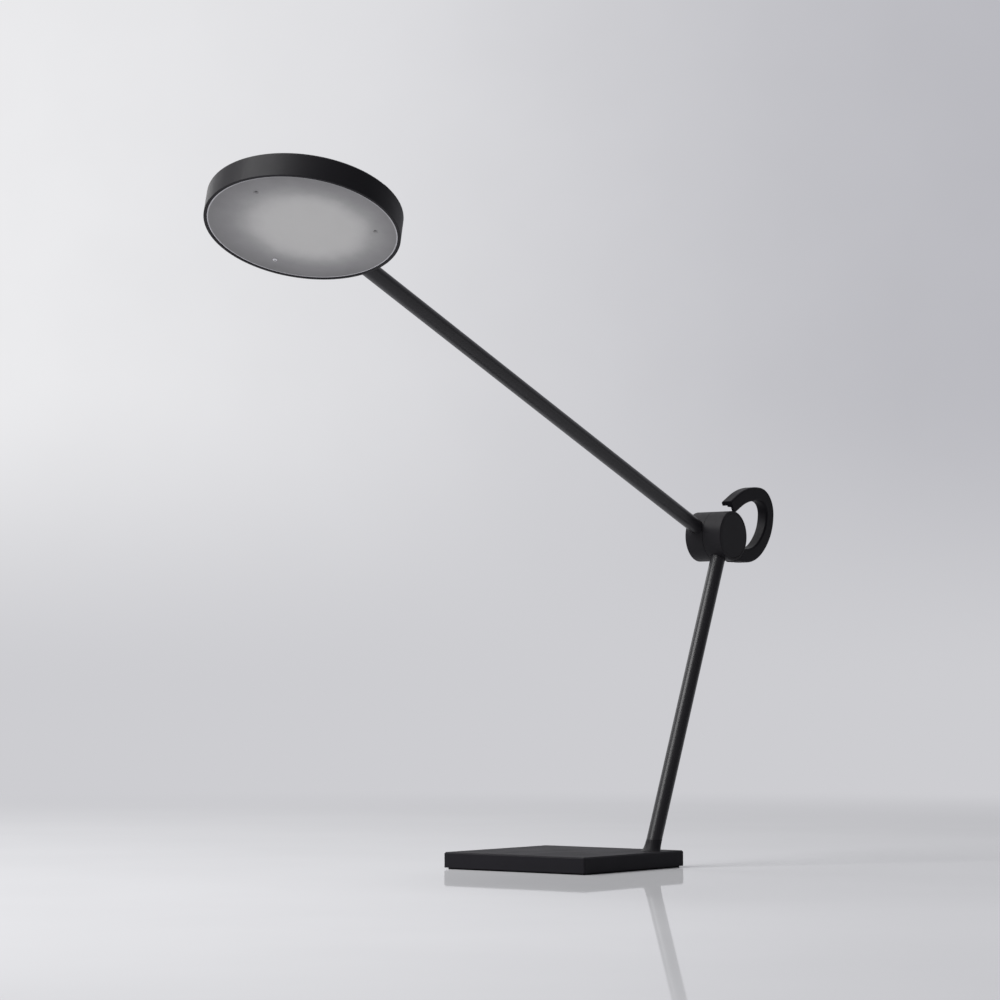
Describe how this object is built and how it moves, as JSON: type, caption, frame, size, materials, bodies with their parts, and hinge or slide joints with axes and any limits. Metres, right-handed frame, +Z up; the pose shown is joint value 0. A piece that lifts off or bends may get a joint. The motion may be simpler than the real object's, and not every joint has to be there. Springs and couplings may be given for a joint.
{
  "type": "desk lamp",
  "caption": "Desk lamp with a square base plate, leaning tube post, barrel elbow with a hoop behind it, long tube arm and a flat round head with a frosted diffuser.",
  "frame": {"origin": "centre of the base's underside, on the table", "axes": "+X towards the head, +Y along the elbow's axis to the side where the post stands, +Z up"},
  "size_m": [0.85, 0.2367, 0.6646],
  "materials": {
    "base_coat": "matt anthracite powder coat on steel",
    "anthracite": "matt anthracite coat on aluminium",
    "hoop_black": "smooth matt, glass-filled",
    "pad_rubber": "matt, non-slip",
    "socket_black": "moulded black",
    "brass": "plated contact",
    "bronze": "sintered, oil-filled",
    "lead_sleeve": "flexible sleeve",
    "steel": "zinc-plated",
    "black_screw": "blackened",
    "bare_aluminium": "bare, turned",
    "friction_lining": "fibre lining",
    "board_white": "white solder mask",
    "board_green": "green solder mask",
    "led_chip": "phosphor under clear resin",
    "white_plastic": "white, reflecting",
    "opal": "frosted opal, lets light through",
    "component": "moulded"
  },
  "bodies": {
    "base": {"base_plate": "base_coat", "base_pad": "pad_rubber", "power_socket": "socket_black", "socket_pin": "brass", "base_lead": "lead_sleeve", "swivel_bush": "bronze", "swivel_stop_pin": "steel"},
    "post": {"swivel_foot": "anthracite", "swivel_washer": "steel", "swivel_nut": "steel", "post_tube": "anthracite", "post_lead": "lead_sleeve", "elbow_post_half": "anthracite", "elbow_near_cap": "anthracite", "post_grub_screw": "black_screw", "elbow_bolt": "steel", "disc_springs": "steel", "elbow_nut": "steel", "balance_spring": "steel", "elbow_stop_pin": "steel", "grip_hoop": "hoop_black", "hoop_screws": "black_screw"},
    "arm": {"elbow_arm_half": "anthracite", "elbow_far_cap": "anthracite", "arm_grub_screw": "black_screw", "friction_disc": "friction_lining", "elbow_bush": "bronze", "arm_tube": "anthracite", "arm_lead": "lead_sleeve", "arm_spigot": "bare_aluminium", "twist_stop_pin": "steel", "twist_washer": "steel", "twist_nut": "steel"},
    "head": {"head_housing": "anthracite", "twist_bush": "bronze", "heat_spreader": "bare_aluminium", "led_board": "board_white", "leds": "led_chip", "board_screws": "steel", "reflector": "white_plastic", "diffuser": "opal", "diffuser_screws": "black_screw", "driver_board": "board_green", "driver_parts": "component", "driver_screws": "steel", "switch_body": "socket_black"},
    "button": {"power_button": "anthracite"}
  },
  "joints": [
    {"name": "base_swivel", "type": "hinge", "parent": "base", "child": "post", "pos_m": [-0.0545, 0.073, 0.0176], "axis": [0, 0, 1], "range_deg": [-160, 160]},
    {"name": "elbow_tilt", "type": "hinge", "parent": "post", "child": "arm", "pos_m": [-0.19431, 0.0639, 0.35314], "axis": [0, -1, 0], "range_deg": [-41.4, 53.6]},
    {"name": "head_twist", "type": "hinge", "parent": "arm", "child": "head", "pos_m": [0.48257, 0.0548, 0.6184], "axis": [0.9311, 0, 0.3649], "range_deg": [-98.6, 81.4]},
    {"name": "button_press", "type": "slide", "parent": "head", "child": "button", "axis": [0.3608, 0.1495, -0.9206], "range_m": [0, 0.0012], "stiffness_N_per_m": 800}
  ]
}
